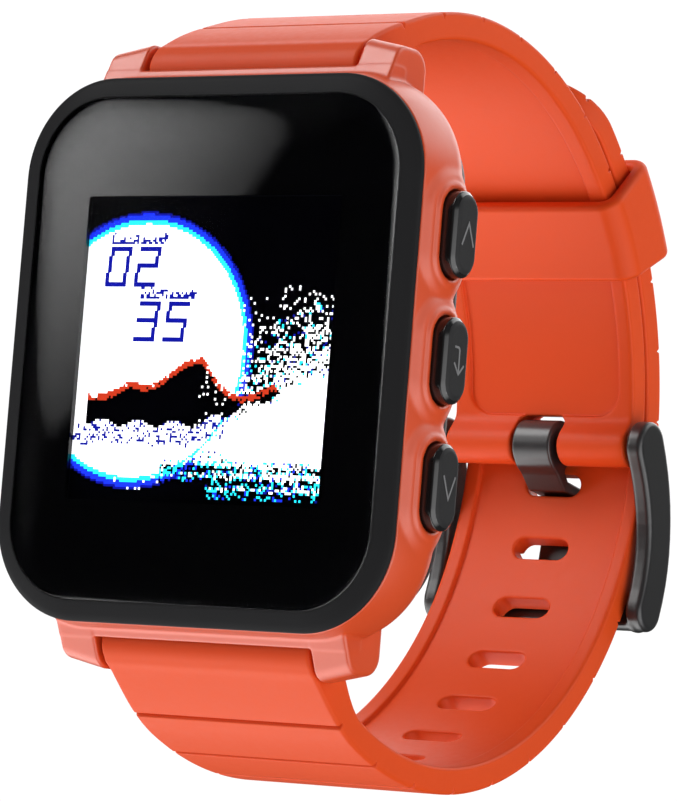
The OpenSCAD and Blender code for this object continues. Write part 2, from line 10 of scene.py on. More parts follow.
import bpy
import numpy as np
from mathutils import Matrix, Vector
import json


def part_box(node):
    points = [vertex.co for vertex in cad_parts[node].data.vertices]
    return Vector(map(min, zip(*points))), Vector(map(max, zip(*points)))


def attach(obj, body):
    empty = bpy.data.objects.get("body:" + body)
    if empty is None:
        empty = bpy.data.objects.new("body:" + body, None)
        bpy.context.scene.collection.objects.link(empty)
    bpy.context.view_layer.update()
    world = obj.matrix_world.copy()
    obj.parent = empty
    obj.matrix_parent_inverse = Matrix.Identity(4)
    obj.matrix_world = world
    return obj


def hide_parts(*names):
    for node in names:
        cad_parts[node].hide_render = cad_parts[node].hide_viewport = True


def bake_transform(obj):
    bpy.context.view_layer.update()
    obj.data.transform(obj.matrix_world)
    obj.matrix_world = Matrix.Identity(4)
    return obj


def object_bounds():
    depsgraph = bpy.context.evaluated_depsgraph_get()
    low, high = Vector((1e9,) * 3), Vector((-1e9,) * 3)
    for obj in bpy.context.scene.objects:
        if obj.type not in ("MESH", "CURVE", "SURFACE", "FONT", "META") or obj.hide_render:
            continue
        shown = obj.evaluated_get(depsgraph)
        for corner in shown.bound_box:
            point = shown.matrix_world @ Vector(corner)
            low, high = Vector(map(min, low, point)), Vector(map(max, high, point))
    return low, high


MM = 0.001
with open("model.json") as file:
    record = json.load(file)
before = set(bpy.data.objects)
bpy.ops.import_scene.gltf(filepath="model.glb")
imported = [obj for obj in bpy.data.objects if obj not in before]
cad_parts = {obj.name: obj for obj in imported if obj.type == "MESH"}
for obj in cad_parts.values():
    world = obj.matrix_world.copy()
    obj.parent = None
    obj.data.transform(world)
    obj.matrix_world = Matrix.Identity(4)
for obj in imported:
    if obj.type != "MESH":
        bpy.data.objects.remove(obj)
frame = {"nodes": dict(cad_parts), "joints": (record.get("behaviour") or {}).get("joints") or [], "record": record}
cad_low, cad_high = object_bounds()


def box_mm(node):
    """Lowest and highest corner of a CAD node in the row frame, in millimetres."""
    low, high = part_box(node)
    return np.array(low) / MM, np.array(high) / MM


def pivot_mm(joint):
    """(y, z) of a joint's axis, seen from the side."""
    found = next(j for j in frame["joints"] if j["name"] == joint)
    return np.array(found["pos_m"][1:]) / MM


# ---- sizes in millimetres, from the frame where it has them ----

ring_high = box_mm("bezel_ring")[1]
case_low, case_high = box_mm("case_body")
lens_low, lens_high = box_mm("lens")
cap_low, cap_high = box_mm("enter_button")

# Case. HW and HL are a half width and a half length
RING_HW, RING_HL = ring_high[0], ring_high[2]
RING_R = 7.8
SEAM_H = -case_low[1]
BACK_H = -case_high[1]
BULGE = 0.4
BACK_EDGE_R = 3.3
CAVITY_HW, CAVITY_HL, CAVITY_R = 16.2, 18.5, 5.5
RING_LIP_HW, RING_LIP_HL, RING_LIP_R = 17.15, 19.85, 6.5
RING_LIP_H = 7.9

# Lens and display
LENS_HW, LENS_HL = lens_high[0], lens_high[2]
LENS_TOP = -lens_low[1]
LENS_R = 6.25
LENS_SEAT_H = 9.4
LENS_BACK = 9.98
SCREEN_HALF = 11.8
SCREEN_H = 9.55

# Buttons, and the mound and lip round each
BUTTON_ZS = [sum(b[2] for b in box_mm(n)) / 2 for n in ("up_button", "enter_button", "down_button")]
LIGHT_Z = sum(b[2] for b in box_mm("light_button")) / 2
BUTTON_H = -(cap_low[1] + cap_high[1]) / 2
CAP_FACE = cap_high[0]
CAP_R = (cap_high[1] - cap_low[1]) / 2
CAP_STRAIGHT = (cap_high[2] - cap_low[2]) / 2 - CAP_R
CAP_BACK = 18.75
CAP_GAP = 0.13
STEM_R = 0.72
STEM_END = 15.8
BOSS_FOOT = 16.9
MOUND_FACE, MOUND_GROW = 18.85, 1.2
LIP_FACE, LIP_GROW = 19.15, 0.6
POCKET_FLOOR = 18.1

# Lugs, the front shoulder between them, and the sloping plane that they share, in (z, h)
BAR_Y, BAR_Z = pivot_mm("strap_swing")
BAR_H = -BAR_Y
LUG_IN, LUG_OUT = 10.1, 13.5
LUG_TIP = case_high[2]
LUG_ROOT, LUG_LOW = 15.0, 2.4
LUG_TAPER = 0.22
SHOULDER_END, SHOULDER_LOW = 22.3, 5.2
SLOPE_AT = (21.6, 7.3)
SLOPE_NORMAL = (0.43, 0.903)
BAR_ROOM_R = 2.35
TIP_HOLE_R, TIP_HOLE_DEPTH = 0.46, 1.1

# Strap: two centres of curvature in the side view, and the middle surface of each layer
CENTRE_A = pivot_mm("keeper_slide")
PIN = pivot_mm("frame_turn")
STRAP_T = 2.2
HALF_T = STRAP_T / 2
TAIL_MID = box_mm("strap_lower")[1][1] - CENTRE_A[0] - STRAP_T / 2
LAYER_GAP = 0.3
UPPER_MID = TAIL_MID - STRAP_T - LAYER_GAP
JOIN = math.radians(-10.5)
CENTRE_SHIFT = 1.8
CENTRE_B = CENTRE_A + CENTRE_SHIFT * np.array([math.cos(JOIN), math.sin(JOIN)])
LOWER_MID = TAIL_MID - CENTRE_SHIFT
HOLE_PITCH = 5.87
FIRST_HOLE = 1.5
SLOT_STRAIGHT, SLOT_R = 1.68, 0.98
WIDE, NARROW = 9.75, 8.8
WIDE_Y, NARROW_Y = -2.0, 40.0
GROOVE_DEPTH, GROOVE_REACH = 0.5, 0.22
PANEL_HW, PANEL_R, PANEL_DEPTH = 7.35, 2.2, 0.35
EYE_R = 2.0
END_R, SIDE_R = 0.3, 0.28

# How much each face of the strap swells at its spring bar, and over what length
ROOT_MORE = 0.9
ROOT_LENGTH = 8.5

# Buckle, in the side view's (y, z)
ARM_IN, ARM_OUT = 9.25, box_mm("buckle_frame")[1][0]
ARM_SKIN = 0.18
CROSSBAR = np.array([42.4, -15.4])
CROSSBAR_R = 1.82
PIN_HOLE_R = 0.82

# Back cover, with its screws and charging contacts
COVER_HW, COVER_HL, COVER_R = 17.1, 19.85, 6.6
SCREW_X, SCREW_Z = 14.3, 15.2
CONTACT_XS, CONTACT_Z = (-4.5, -1.5, 1.5, 4.5), -11.0


# ---- meshes ----


def make_object(name, points, faces, *materials):
    """A smooth-shaded mesh object from points in millimetres, with its faces turned outwards."""
    points = np.asarray(points, float)
    mesh = bpy.data.meshes.new(name)
    mesh.from_pydata((points * MM).tolist(), [], [list(f) for f in faces])
    mesh.validate()
    volume = sum(p.normal.dot(p.center) * p.area for p in mesh.polygons)
    if volume < 0:
        mesh.flip_normals()
    mesh.polygons.foreach_set("use_smooth", [True] * len(mesh.polygons))
    mesh.update()
    obj = bpy.data.objects.new(name, mesh)
    bpy.context.scene.collection.objects.link(obj)
    for m in materials:
        mesh.materials.append(m)
    return obj


def sharpen(obj, degrees):
    """Edges bent more than this stay crisp in the shading."""
    bpy.context.view_layer.objects.active = obj
    obj.data.set_sharp_from_angle(angle=math.radians(degrees))
    return obj


def grid_line(low, high, step, *dense):
    """Positions from low to high a step apart, and closer in each (centre, reach, step) stretch.

    Steps are chosen so that none lies exactly in a flat face, where inside and outside can't be told apart.
    """
    closest = 0.045
    parts = [np.arange(low, high + step, step)]
    parts += [np.arange(c - reach, c + reach + fine / 2, fine) for c, reach, fine in dense]
    line = np.unique(np.concatenate(parts))
    kept = [line[0]]
    for value in line[1:]:
        if value - kept[-1] > closest:
            kept.append(value)
    return np.array(kept)


def both_sides(half_line):
    """A grid line made symmetrical about zero."""
    half_line = half_line[half_line > 0.02]
    return np.concatenate([-half_line[::-1], [0.0], half_line])


def surface_net(distance, lines):
    """Points and quads of the surface where distance(a, b, c) is zero, sampled on the grid lines."""
    a, b, c = lines
    shape = (len(a), len(b), len(c))
    field = np.broadcast_to(distance(a[:, None, None], b[None, :, None], c[None, None, :]), shape)
    inside = field < 0
    corners = [(i, j, k) for i in (0, 1) for j in (0, 1) for k in (0, 1)]
    count = sum(
        inside[i : shape[0] - 1 + i, j : shape[1] - 1 + j, k : shape[2] - 1 + k].astype(np.int8)
        for i, j, k in corners
    )
    mixed = (count > 0) & (count < 8)
    index = np.full(mixed.shape, -1)
    index[mixed] = np.arange(mixed.sum())
    total, hits = np.zeros((mixed.sum(), 3)), np.zeros(mixed.sum())
    quads = []
    for axis in range(3):
        near = field[tuple(slice(None, -1) if i == axis else slice(None) for i in range(3))]
        far = field[tuple(slice(1, None) if i == axis else slice(None) for i in range(3))]
        edge = np.argwhere((near < 0) != (far < 0))
        f0, f1 = near[tuple(edge.T)], far[tuple(edge.T)]
        point = np.stack([lines[i][edge[:, i]] for i in range(3)], 1)
        gap = lines[axis][edge[:, axis] + 1] - lines[axis][edge[:, axis]]
        point[:, axis] += f0 / (f0 - f1) * gap
        u, v = [i for i in range(3) if i != axis]
        ring = []
        for du, dv in ((0, 0), (1, 0), (1, 1), (0, 1)):
            cell = edge.copy()
            cell[:, u] -= du
            cell[:, v] -= dv
            ids = index[tuple(cell.T)]
            ring.append(ids)
            hits += np.bincount(ids, minlength=len(hits))
            for k in range(3):
                total[:, k] += np.bincount(ids, point[:, k], len(hits))
        quad = np.stack(ring, 1)
        turn = (f0 > 0) != (axis == 1)
        quad[turn] = quad[turn][:, ::-1]
        quads.append(quad)
    return total / hits[:, None], np.concatenate(quads)


def settle(points, distance, rounds=4):
    """Moves the points onto the exact surface, a little in each round."""
    reach, least_slope, longest = 0.01, 0.2, 0.12
    for _ in range(rounds):
        f = distance(*points.T)
        slope = np.stack(
            [
                (distance(*(points + reach * e).T) - distance(*(points - reach * e).T)) / (2 * reach)
                for e in np.eye(3)
            ],
            1,
        )
        move = (f / np.maximum((slope * slope).sum(1), least_slope))[:, None] * slope
        points = points - np.clip(move, -longest, longest)
    return points


def solid(name, distance, lines, material, place=None):
    """The body inside distance() < 0, in the row frame or put there by place()."""
    points, quads = surface_net(distance, lines)
    points = settle(points, distance)
    return make_object(name, place(points) if place else points, quads, material)


# ---- distance functions, negative inside ----


def rounded_rect(x, z, hw, hl, r):
    """A rectangle of half width hw and half length hl with rounded corners."""
    qx, qz = np.abs(x) - (hw - r), np.abs(z) - (hl - r)
    return np.hypot(np.maximum(qx, 0), np.maximum(qz, 0)) + np.minimum(np.maximum(qx, qz), 0) - r


def pill(u, v, straight, r):
    """A slot along u, straight for that far each way, with round ends."""
    return np.hypot(np.maximum(np.abs(u) - straight, 0), v) - r


def both(a, b, r):
    """Inside a and b, with the edge between them rounded."""
    r = max(r, 1e-4)
    return np.minimum(-r, np.maximum(a, b)) + np.hypot(np.maximum(a + r, 0), np.maximum(b + r, 0))


def either(a, b, r):
    """Inside a or b, with a fillet between them."""
    r = max(r, 1e-4)
    return np.maximum(r, np.minimum(a, b)) - np.hypot(np.maximum(r - a, 0), np.maximum(r - b, 0))


def less(a, b, r):
    """Inside a but not b, with the edge between them rounded."""
    return both(a, -b, r)


def chain(u, v, points, radii):
    """Distance to a bar that follows the points, with a radius at each."""
    best = None
    for (u0, v0), (u1, v1), r0, r1 in zip(points, points[1:], radii, radii[1:]):
        du, dv = u1 - u0, v1 - v0
        t = np.clip(((u - u0) * du + (v - v0) * dv) / (du * du + dv * dv), 0, 1)
        d = np.hypot(u - u0 - t * du, v - v0 - t * dv) - (r0 + t * (r1 - r0))
        best = d if best is None else np.minimum(best, d)
    return best


def bezier(a, b, c, count):
    """Points along the curve from a to c that b pulls on."""
    t = np.linspace(0, 1, count)[:, None]
    a, b, c = np.array(a), np.array(b), np.array(c)
    return (1 - t) ** 2 * a + 2 * t * (1 - t) * b + t**2 * c


# ---- materials ----


def finish_of(name, colour, rough, spread=0.06, grain=1500.0, bump=0.02, metal=0.0, coat=0.0,
              coat_rough=0.1, specular=0.5):
    """A moulded or machined finish: slow colour drift, uneven roughness and a grain bump mm deep."""
    patch, rough_spread = 60.0, 0.15
    mat = bpy.data.materials.new(name)
    mat.use_nodes = True
    nodes, links = mat.node_tree.nodes, mat.node_tree.links
    shader = nodes["Principled BSDF"]
    shader.inputs["Metallic"].default_value = metal
    shader.inputs["Coat Weight"].default_value = coat
    shader.inputs["Coat Roughness"].default_value = coat_rough
    shader.inputs["Specular IOR Level"].default_value = specular
    where = nodes.new("ShaderNodeTexCoord")
    drift = nodes.new("ShaderNodeTexNoise")
    drift.inputs["Scale"].default_value = patch
    drift.inputs["Detail"].default_value = 3.0
    links.new(where.outputs["Object"], drift.inputs["Vector"])
    mix = nodes.new("ShaderNodeMix")
    mix.data_type = "RGBA"
    mix.inputs["A"].default_value = (*[c * (1 - spread) for c in colour], 1)
    mix.inputs["B"].default_value = (*[min(1, c * (1 + spread)) for c in colour], 1)
    links.new(drift.outputs["Fac"], mix.inputs["Factor"])
    links.new(mix.outputs["Result"], shader.inputs["Base Color"])
    fine = nodes.new("ShaderNodeTexNoise")
    fine.inputs["Scale"].default_value = grain
    fine.inputs["Detail"].default_value = 4.0
    links.new(where.outputs["Object"], fine.inputs["Vector"])
    uneven = nodes.new("ShaderNodeMapRange")
    uneven.inputs["To Min"].default_value = rough * (1 - rough_spread)
    uneven.inputs["To Max"].default_value = min(1.0, rough * (1 + rough_spread))
    links.new(fine.outputs["Fac"], uneven.inputs["Value"])
    links.new(uneven.outputs["Result"], shader.inputs["Roughness"])
    if bump:
        relief = nodes.new("ShaderNodeBump")
        relief.inputs["Strength"].default_value = 1.0
        relief.inputs["Distance"].default_value = bump * MM
        links.new(fine.outputs["Fac"], relief.inputs["Height"])
        links.new(relief.outputs["Normal"], shader.inputs["Normal"])
    return mat


def brushed(name, colour, rough):
    """Metal with fine lines along X."""
    mat = finish_of(name, colour, rough, metal=1.0, bump=0.004, grain=900.0)
    nodes, links = mat.node_tree.nodes, mat.node_tree.links
    stretch = nodes.new("ShaderNodeMapping")
    stretch.inputs["Scale"].default_value = (0.04, 1.0, 1.0)
    links.new(nodes["Texture Coordinate"].outputs["Object"], stretch.inputs["Vector"])
    grain_noise = nodes["Noise Texture.001"]
    links.new(stretch.outputs["Vector"], grain_noise.inputs["Vector"])
    return mat


def glass(name, ior):
    """Clear and polished; an index near 1 gives the look of an anti-reflection coating."""
    mat = finish_of(name, (1.0, 1.0, 1.0), 0.0, spread=0.0, bump=0.0)
    shader = mat.node_tree.nodes["Principled BSDF"]
    shader.inputs["Transmission Weight"].default_value = 1.0
    shader.inputs["IOR"].default_value = ior
    return mat


def pixel_material(name, colour, strength):
    """One of the display's colours, lit from inside."""
    mat = finish_of(name, colour, 0.4, spread=0.02, grain=5000.0, bump=0.0, specular=0.0)
    nodes, links = mat.node_tree.nodes, mat.node_tree.links
    shader = nodes["Principled BSDF"]
    links.new(nodes["Mix"].outputs["Result"], shader.inputs["Emission Color"])
    shader.inputs["Emission Strength"].default_value = strength
    return mat


orange_plastic = finish_of("orange_plastic", (0.72, 0.072, 0.010), 0.40, spread=0.03, grain=2200.0,
                           bump=0.006, specular=0.75, coat=0.2, coat_rough=0.35)
silicone = finish_of("orange_silicone", (0.75, 0.072, 0.009), 0.5, spread=0.05, grain=1800.0, bump=0.010,
                     specular=0.22)
bezel_black = finish_of("bezel_black", (0.022, 0.022, 0.023), 0.36, spread=0.08, grain=3000.0, bump=0.002,
                        specular=0.02)
mask_black = finish_of("mask_ink", (0.0015, 0.0015, 0.002), 0.012, spread=0.1, bump=0.0)
button_gloss = finish_of("button_gloss", (0.02, 0.02, 0.021), 0.12, spread=0.08, bump=0.001, coat=0.4,
                         coat_rough=0.05)
button_matte = finish_of("button_face", (0.021, 0.021, 0.022), 0.6, grain=4000.0, bump=0.004, specular=0.25)
icon_paint = finish_of("icon_paint", (0.19, 0.19, 0.195), 0.5, spread=0.05, bump=0.0)
black_metal = finish_of("black_metal", (0.030, 0.030, 0.031), 0.33, spread=0.1, grain=2600.0, bump=0.004,
                        coat=0.2, coat_rough=0.25)
back_black = finish_of("back_cover_black", (0.03, 0.03, 0.032), 0.42, grain=2400.0, bump=0.012)
clear_lens = glass("clear_lens", 1.05)

slot_looks = {
    "black_rubber": finish_of("seal_rubber", (0.02, 0.02, 0.02), 0.7, bump=0.01),
    "black_plastic": back_black,
    "black_metal": black_metal,
    "orange_case": orange_plastic,
    "orange_rubber": silicone,
    "steel": brushed("stainless_steel", (0.62, 0.62, 0.64), 0.28),
    "gold": brushed("gold_plate", (0.85, 0.58, 0.2), 0.22),
    "lcd": finish_of("display_stack", (0.05, 0.06, 0.07), 0.15, bump=0.0),
    "white_plastic": finish_of("white_plastic", (0.75, 0.75, 0.72), 0.5),
    "board": finish_of("solder_mask", (0.01, 0.13, 0.04), 0.35, bump=0.03, grain=700.0),
    "amber_film": finish_of("polyimide", (0.55, 0.2, 0.02), 0.25, bump=0.002),
    "ceramic": finish_of("ceramic", (0.6, 0.5, 0.36), 0.55),
    "battery_foil": finish_of("battery_foil", (0.7, 0.71, 0.73), 0.3, metal=0.9, bump=0.03, grain=400.0),
    "black_bezel": bezel_black,
    "lens_glass": clear_lens,
}
slot_of = {s["node"]: s["material_slot"] for s in frame["record"]["subparts"]}
for node, obj in frame["nodes"].items():
    obj.data.materials.clear()
    obj.data.materials.append(slot_looks[slot_of[node]])


# ---- case ----


def stand_up(points):
    """Case points, (x, z, h), to the row frame."""
    return np.stack([points[:, 0], -points[:, 2], points[:, 1]], 1)


def case_distance(x, z, h):
    rise = SEAM_H - BUTTON_H
    bulge_r = (rise**2 + BULGE**2) / (2 * BULGE)
    plan = rounded_rect(x, z, RING_HW, RING_HL, RING_R)
    side = np.hypot(np.maximum(plan - (BULGE - bulge_r), 0), h - BUTTON_H) - bulge_r
    body = both(side, BACK_H - h, BACK_EDGE_R)
    ax, az = np.abs(x), np.abs(z)

    # The front shoulder between the lugs, and the lugs
    slope = SLOPE_NORMAL[0] * (az - SLOPE_AT[0]) + SLOPE_NORMAL[1] * (h - SLOPE_AT[1])
    band = both(slope, az - SHOULDER_END, 0.15)
    band = both(band, SHOULDER_LOW - h, 0.4)
    band = both(band, ax - LUG_OUT, 0.2)
    body = either(body, band, 0.25)
    lug = both(slope, az - LUG_TIP + LUG_TAPER * (ax - LUG_IN), 0.8)
    lug = both(lug, LUG_LOW - h, 1.6)
    lug = both(lug, np.abs(ax - (LUG_IN + LUG_OUT) / 2) - (LUG_OUT - LUG_IN) / 2, 0.22)
    lug = both(lug, LUG_ROOT - az, 0.1)
    body = either(body, lug, 0.12)
    body = both(body, h - SEAM_H, 0.1)

    # Room for the strap's end and for the spring bar's tips
    from_bar = np.hypot(az - BAR_Z, h - BAR_H)
    body = less(body, both(from_bar - BAR_ROOM_R, ax - LUG_IN, 0.1), 0.12)
    body = less(body, both(from_bar - TIP_HOLE_R, ax - LUG_IN - TIP_HOLE_DEPTH, 0.05), 0.05)

    # Button bosses, each a soft mound with a raised lip, and their pockets
    rooms = []
    for side_x, zs in ((x, BUTTON_ZS), (-x, [LIGHT_Z])):
        for centre in zs:
            pad = pill(z - centre, h - BUTTON_H, CAP_STRAIGHT, CAP_R)
            mound = both(both(pad - MOUND_GROW, side_x - MOUND_FACE, 0.5), BOSS_FOOT - side_x, 0.1)
            lip = both(both(pad - LIP_GROW, side_x - LIP_FACE, 0.22), BOSS_FOOT - side_x, 0.1)
            body = either(body, either(mound, lip, 0.12), 0.8)
            rooms.append(both(pad - CAP_GAP, POCKET_FLOOR - side_x, 0.05))
    for room in rooms:
        body = less(body, room, 0.14)

    # The cavity, and the pocket for the bezel's lip
    body = less(body, rounded_rect(x, z, CAVITY_HW, CAVITY_HL, CAVITY_R), 0.1)
    pocket = rounded_rect(x, z, RING_LIP_HW, RING_LIP_HL, RING_LIP_R)
    return less(body, both(pocket, RING_LIP_H - h, 0.05), 0.05)


def make_case():
    fine = 0.22
    dense = [(18.6, 1.3, 0.13), (LUG_IN + 0.03, 0.3, 0.1), (LUG_OUT + 0.03, 0.3, 0.1)]
    across = both_sides(grid_line(0, 20.6, fine, *dense))
    along = both_sides(grid_line(0, 25.2, fine, (22.2, 0.6, 0.12)))
    high = grid_line(1.37, 9.6, 0.2, (SEAM_H, 0.3, 0.08))
    case = solid("case_shell", case_distance, (across, along, high), orange_plastic, stand_up)
    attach(case, "case")
    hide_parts("case_body")


def outline(hw, hl, r, steps=24):
    """Corner centres, directions and radius of a rounded rectangle, so that an offset is exact."""
    points, normals = [], []
    for quarter, (sx, sz) in enumerate(((1, 1), (-1, 1), (-1, -1), (1, -1))):
        for i in range(steps + 1):
            a = math.radians(90 * (quarter + i / steps))
            points.append((sx * (hw - r), sz * (hl - r)))
            normals.append((math.cos(a), math.sin(a)))
    return np.array(points), np.array(normals), r


def swept(profile, shape):
    """Rings of (x, z, h) round a shape, one for each (offset, height) of the profile."""
    centres, normals, r = shape
    rings = [np.column_stack([centres + normals * (r + off), np.full(len(centres), h)]) for off, h in profile]
    return np.concatenate(rings), len(centres)


def ring_faces(count, rings, closed):
    """Quads between rings of count points each, and from the last ring back to the first if closed."""
    faces = []
    for i in range(rings if closed else rings - 1):
        low, high = i * count, (i + 1) % rings * count
        for k in range(count):
            n = (k + 1) % count
            faces.append((low + k, low + n, high + n, high + k))
    return faces


def capped_object(name, profile, shape, *materials, place=stand_up):
    """A closed lid, button or rod: the profile runs from its back rim to its front face."""
    points, count = swept(profile, shape)
    faces = ring_faces(count, len(profile), False)
    faces.append(tuple(range(count))[::-1])
    faces.append(tuple(range((len(profile) - 1) * count, len(profile) * count)))
    return make_object(name, place(points), faces, *materials)


def arc(centre, r, a0, a1, steps):
    """(offset, height) points round an arc, in degrees."""
    return [
        (centre[0] + r * math.cos(math.radians(a)), centre[1] + r * math.sin(math.radians(a)))
        for a in np.linspace(a0, a1, steps)
    ]


def make_bezel():
    shape = outline(RING_HW, RING_HL, RING_R)
    lens_edge = LENS_HW - RING_HW + 0.07
    window_edge, lip_edge, foot = -2.85, -1.35, 7.95
    profile = [(-0.12, SEAM_H), (0.0, SEAM_H + 0.1), (0.0, SEAM_H + 0.22)]
    profile += arc((-0.32, 9.36), 0.32, 5, 65, 6)
    profile += [(-0.24, 9.7), (-0.6, 9.86), (lens_edge - 0.12, 10.14)]
    profile += [(lens_edge - 0.03, 10.15), (lens_edge, 10.09), (lens_edge, LENS_SEAT_H)]
    profile += [(window_edge, LENS_SEAT_H), (window_edge, foot), (lip_edge, foot), (lip_edge, SEAM_H)]
    points, count = swept(profile, shape)
    bezel = make_object("bezel", stand_up(points), ring_faces(count, len(profile), True), bezel_black)
    sharpen(bezel, 40)
    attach(bezel, "case")
    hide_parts("bezel_ring")


def make_lens():
    """A thin clear pane with a softened edge, flat over the display."""
    shape = outline(LENS_HW, LENS_HL, LENS_R)
    profile = [(-0.6, LENS_BACK), (-0.08, LENS_BACK), (0.0, LENS_BACK + 0.04)]
    profile += arc((-0.2, 10.04), 0.2, 10, 70, 4)
    profile += [(-0.3, 10.24), (-0.7, 10.36), (-1.2, 10.43), (-1.8, 10.475)]
    profile += [(-2.6, LENS_TOP), (-3.4, LENS_TOP)]
    lens = capped_object("lens_glass", profile, shape, clear_lens)
    sharpen(lens, 50)
    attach(lens, "case")
    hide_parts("lens")


def make_mask():
    """The black print under the lens, open over the display."""
    margin = 0.1
    centres, normals, r = outline(LENS_HW - margin, LENS_HL - margin, LENS_R - margin)
    outside = centres + normals * r
    count = len(outside)
    # Each outer point's partner is where a ray from the middle meets the square window
    inside = outside / np.abs(outside).max(1)[:, None] * (SCREEN_HALF + 0.02)
    low, high = SCREEN_H + 0.01, LENS_BACK - 0.02
    rings = [(outside, low), (outside, high), (inside, high), (inside, low)]
    points = np.concatenate([np.column_stack([p, np.full(count, h)]) for p, h in rings])
    mask = make_object("lens_print", stand_up(points), ring_faces(count, len(rings), True), mask_black)
    sharpen(mask, 30)
    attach(mask, "case")


# ---- display picture ----

# Bars of each figure: a top, b and c right, d bottom, e and f left, g middle
SEGMENTS = {"0": "abcdef", "2": "abged", "3": "abgcd", "5": "afgcd"}


def draw_digit(picture, digit, left, top, wide, tall, colour):
    """A seven-segment figure, leaning a little, in display dots."""
    half, thick = tall // 2, 2
    bars = {
        "a": (0, 0, wide, thick), "g": (0, half - 1, wide, thick), "d": (0, tall - thick, wide, thick),
        "f": (0, 0, thick, half), "b": (wide - thick, 0, thick, half),
        "e": (0, half, thick, tall - half), "c": (wide - thick, half, thick, tall - half),
    }
    for name in SEGMENTS[digit]:
        x, y, w, h = bars[name]
        for i in range(x, x + w):
            for k in range(y, y + h):
                lean = (tall - k) // 7
                picture[top + k, left + i + lean] = colour


def display_picture(size):
    """Dots of an abstract watch face: a lit disc, two figures, hills and spray. Row 0 is the top."""
    rng = np.random.default_rng(5)
    row, col = np.mgrid[0:size, 0:size] / (size - 1)
    dark, white, blue, cyan, navy, red = range(6)
    picture = np.zeros((size, size), int)
    radius = np.hypot(col - 0.235, row - 0.505) / 0.425
    noise = rng.random((size, size))
    picture[radius < 1.08] = navy
    picture[radius < 1.06] = blue
    picture[radius < 1.02] = cyan
    picture[radius < 0.985] = white
    # Spray thrown up to the right, thicker lower down
    spray = np.exp(-(((col - 1.0) / 0.26) ** 2) - ((row - 0.70) / 0.24) ** 2) * 1.15
    spray += np.exp(-(((col - 0.72) / 0.36) ** 2) - ((row - 0.80) / 0.12) ** 2) * 1.1
    outside = (radius > 1.0) & (row > 0.28 + 0.25 * np.abs(col - 0.85))
    picture[outside & (noise < spray)] = white
    thin = outside & (noise > spray) & (spray > 0.12)
    picture[thin & (noise < spray + 0.06)] = cyan
    picture[thin & (noise > spray + 0.06) & (noise < spray + 0.10)] = navy
    drop = rng.random((size, size))
    picture[outside & (drop < 0.03) & (row < 0.6)] = white
    # Dark hills across the disc, with a warm line along their crest
    crest = 0.62 + 0.045 * np.abs(np.sin(col * 11.0 + 0.8)) - 0.10 * np.exp(-(((col - 0.44) / 0.13) ** 2))
    foot = 0.745 + 0.012 * np.sin(col * 43.0) - 0.10 * np.clip((col - 0.5) / 0.3, 0, 1)
    hills = (row > crest) & (row < foot) & (col > 0.04) & (noise < 1.25 - 0.55 * col)
    picture[hills] = dark
    picture[(np.abs(row - crest) < 0.011) & (col > 0.04) & (col < 0.8) & (noise < 0.85)] = red
    shade = (row > foot) & (row < foot + 0.07) & (noise < 0.28) & (col < 0.6)
    picture[shade] = navy
    # Broken water along the bottom
    low = (row > 0.86) & (col > 0.36) & (row < 0.99)
    picture[low & (noise < 0.30 + 0.3 * np.sin(row * 150.0))] = dark
    picture[low & (noise > 0.86)] = cyan
    picture[low & (noise > 0.80) & (noise < 0.86)] = blue
    picture[(row > 0.985) | ((row > 0.93) & (col < 0.55) & (radius > 1.08))] = dark
    for text, left, top in (("02", 0.085, 0.165), ("35", 0.215, 0.345)):
        tall, wide = int(size * 0.14), int(size * 0.086)
        for i, digit in enumerate(text):
            x, y = int(size * left) + i * int(size * 0.12), int(size * top)
            draw_digit(picture, digit, x, y, wide, tall, navy)
            # Loose dots over the figure, thicker lower down
            dots = rng.random((5, wide + 3)) < np.array([[0.10], [0.25], [0.4], [0.55], [0.75]])
            area = picture[y - 6 : y - 1, x + 2 : x + wide + 5]
            area[dots] = navy
    return picture


def make_screen():
    """The display: one small square face for each dot, coloured by the picture."""
    size = 128
    picture = display_picture(size)
    line = np.linspace(-SCREEN_HALF, SCREEN_HALF, size + 1)
    gx, gz = np.meshgrid(line, -line)
    points = np.column_stack([gx.ravel(), gz.ravel(), np.full(gx.size, SCREEN_H)])
    row, col = np.mgrid[0:size, 0:size]
    first = (row * (size + 1) + col).ravel()
    faces = np.stack([first, first + size + 1, first + size + 2, first + 1], 1)
    looks = [
        pixel_material("dots_dark", (0.001, 0.001, 0.002), 0.0),
        pixel_material("dots_white", (0.98, 0.99, 1.0), 1.0),
        pixel_material("dots_blue", (0.01, 0.03, 0.80), 0.9),
        pixel_material("dots_cyan", (0.02, 0.75, 0.95), 0.9),
        pixel_material("dots_navy", (0.004, 0.006, 0.24), 0.9),
        pixel_material("dots_red", (0.42, 0.03, 0.01), 0.9),
    ]
    # A thin tray behind the dots closes the piece
    depth = 0.015
    rim = list(range(0, size)) + [i * (size + 1) + size for i in range(size)]
    rim += [(size + 1) * size + i for i in range(size, 0, -1)] + [i * (size + 1) for i in range(size, 0, -1)]
    start = len(points)
    points = np.concatenate([points, points[rim] - [0, 0, depth]])
    after = [(i + 1) % len(rim) for i in range(len(rim))]
    sides = [(rim[i], rim[n], start + n, start + i) for i, n in enumerate(after)]
    bottom = [tuple(range(start, start + len(rim)))]
    everything = [tuple(f) for f in faces] + sides + bottom
    screen = make_object("screen_picture", stand_up(points), everything, *looks)
    shade = np.concatenate([picture.ravel(), np.zeros(len(sides) + 1, int)])
    screen.data.polygons.foreach_set("material_index", shade.astype(np.int32))
    screen.data.polygons.foreach_set("use_smooth", [False] * len(everything))
    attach(screen, "case")


# ---- buttons ----


